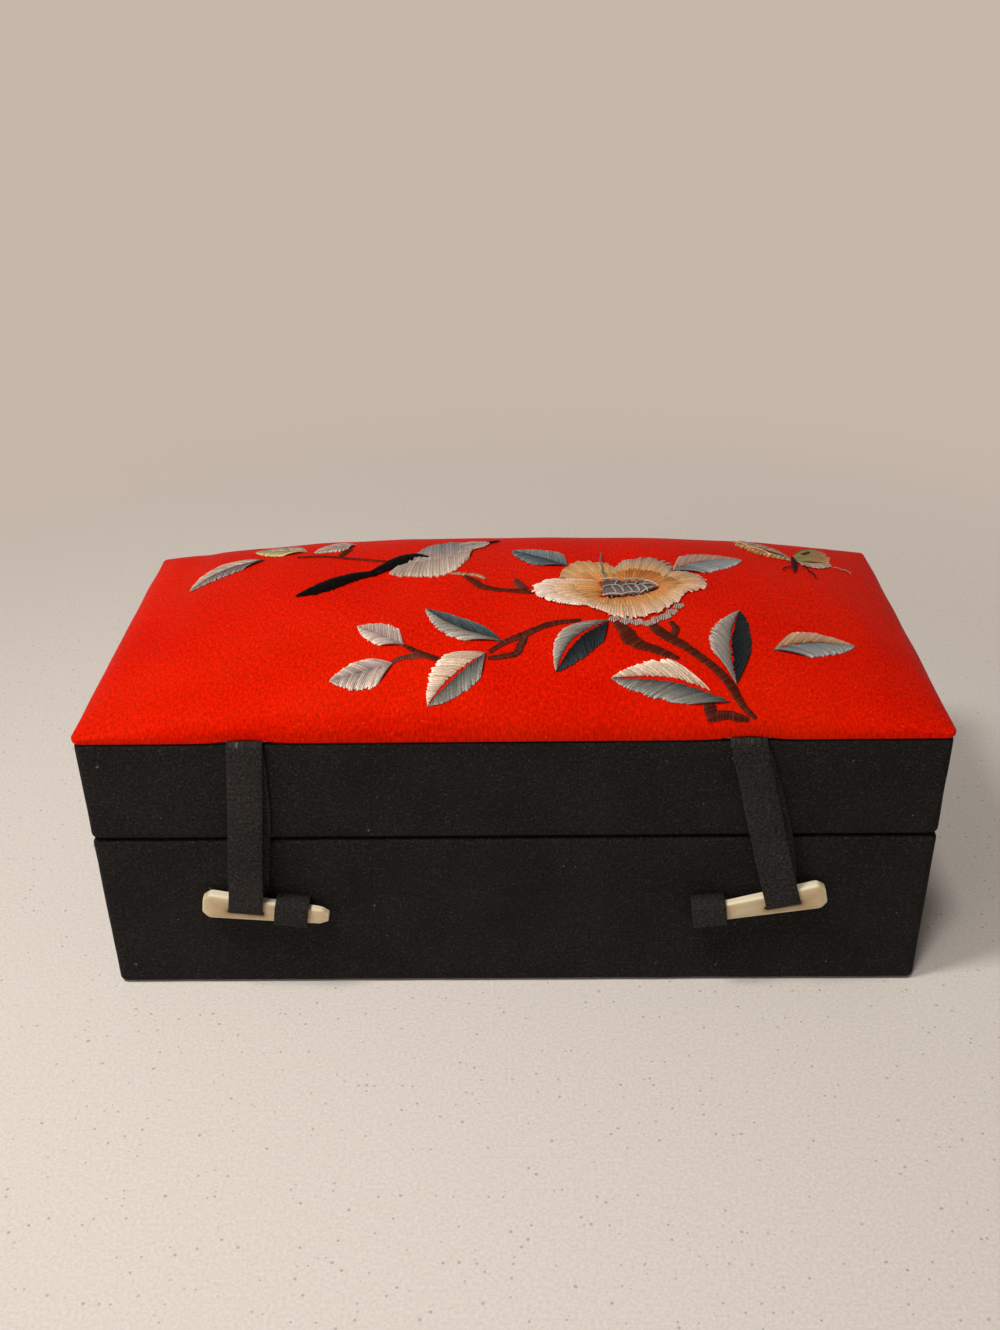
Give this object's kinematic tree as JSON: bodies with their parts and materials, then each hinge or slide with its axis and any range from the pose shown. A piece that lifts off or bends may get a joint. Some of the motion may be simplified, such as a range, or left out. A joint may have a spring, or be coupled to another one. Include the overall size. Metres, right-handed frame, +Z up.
{
  "type": "brocade box",
  "caption": "Rectangular keepsake box with a padded embroidered silk lid, black cloth sides, a cloth hinge and ribbon clasps with bone pegs.",
  "frame": {"origin": "on the table, under the middle of the base", "axes": "+X along the width to the right, -Y out of the front with the clasps, +Z up"},
  "size_m": [0.2, 0.1011, 0.0896],
  "materials": {
    "grey_board": "plain grey board, matt",
    "black_cloth": "fine black weave, matt",
    "lining_silk": "gold satin lining, soft sheen",
    "wadding": "cotton wadding, matt",
    "red_silk": "red satin, soft sheen",
    "peach_thread": "satin stitch, silky",
    "grey_thread": "satin stitch, silky",
    "brown_thread": "satin stitch, silky",
    "mauve_thread": "satin stitch, silky",
    "olive_thread": "satin stitch, silky",
    "bone": "carved bone, satin"
  },
  "bodies": {
    "base": {"base_underside_sheet": "black_cloth", "base_cover_cloth": "black_cloth", "base_floor_board": "grey_board", "base_front_board": "grey_board", "base_back_board": "grey_board", "base_left_board": "grey_board", "base_right_board": "grey_board", "base_lining_front": "lining_silk", "base_lining_back": "lining_silk", "base_lining_left": "lining_silk", "base_lining_right": "lining_silk", "base_floor_pad": "lining_silk", "hinge_cloth": "black_cloth", "inner_hinge_strip": "lining_silk", "keeper_left": "black_cloth", "keeper_right": "black_cloth"},
    "lid": {"lid_cover_cloth": "black_cloth", "lid_top_board": "grey_board", "lid_front_board": "grey_board", "lid_back_board": "grey_board", "lid_left_board": "grey_board", "lid_right_board": "grey_board", "lid_lining_front": "lining_silk", "lid_lining_back": "lining_silk", "lid_lining_left": "lining_silk", "lid_lining_right": "lining_silk", "lid_ceiling_pad": "lining_silk", "lid_pad_card": "grey_board", "lid_wadding": "wadding", "lid_silk_panel": "red_silk", "embroidered_flower": "peach_thread", "embroidered_leaves": "grey_thread", "embroidered_branches": "brown_thread", "embroidered_bird": "mauve_thread", "embroidered_butterfly": "olive_thread", "ribbon_tail_left": "black_cloth", "ribbon_tail_right": "black_cloth"},
    "ribbon_fold_left": {"ribbon_fold_left": "black_cloth"},
    "clasp_left": {"ribbon_left": "black_cloth", "peg_left": "bone"},
    "ribbon_fold_right": {"ribbon_fold_right": "black_cloth"},
    "clasp_right": {"ribbon_right": "black_cloth", "peg_right": "bone"}
  },
  "joints": [
    {"name": "lid_hinge", "type": "hinge", "parent": "base", "child": "lid", "pos_m": [0, 0.048, 0.04465], "axis": [-1, 0, 0], "range_deg": [0, 105], "deforming": ["hinge_cloth", "inner_hinge_strip", "keeper_left", "keeper_right"]},
    {"name": "left_ribbon_lift", "type": "hinge", "parent": "lid", "child": "ribbon_fold_left", "pos_m": [-0.0605, -0.0488, 0.07095], "axis": [-1, 0, 0], "range_deg": [0, 170]},
    {"name": "left_peg_draw", "type": "hinge", "parent": "ribbon_fold_left", "child": "clasp_left", "pos_m": [-0.0605, -0.0488, 0.07095], "axis": [0, 1, 0], "range_deg": [0, 18], "deforming": ["ribbon_fold_left"]},
    {"name": "right_ribbon_lift", "type": "hinge", "parent": "lid", "child": "ribbon_fold_right", "pos_m": [0.0535, -0.0488, 0.07095], "axis": [-1, 0, 0], "range_deg": [0, 170]},
    {"name": "right_peg_draw", "type": "hinge", "parent": "ribbon_fold_right", "child": "clasp_right", "pos_m": [0.0535, -0.0488, 0.07095], "axis": [0, -1, 0], "range_deg": [-2, 9], "deforming": ["ribbon_fold_right"]}
  ]
}
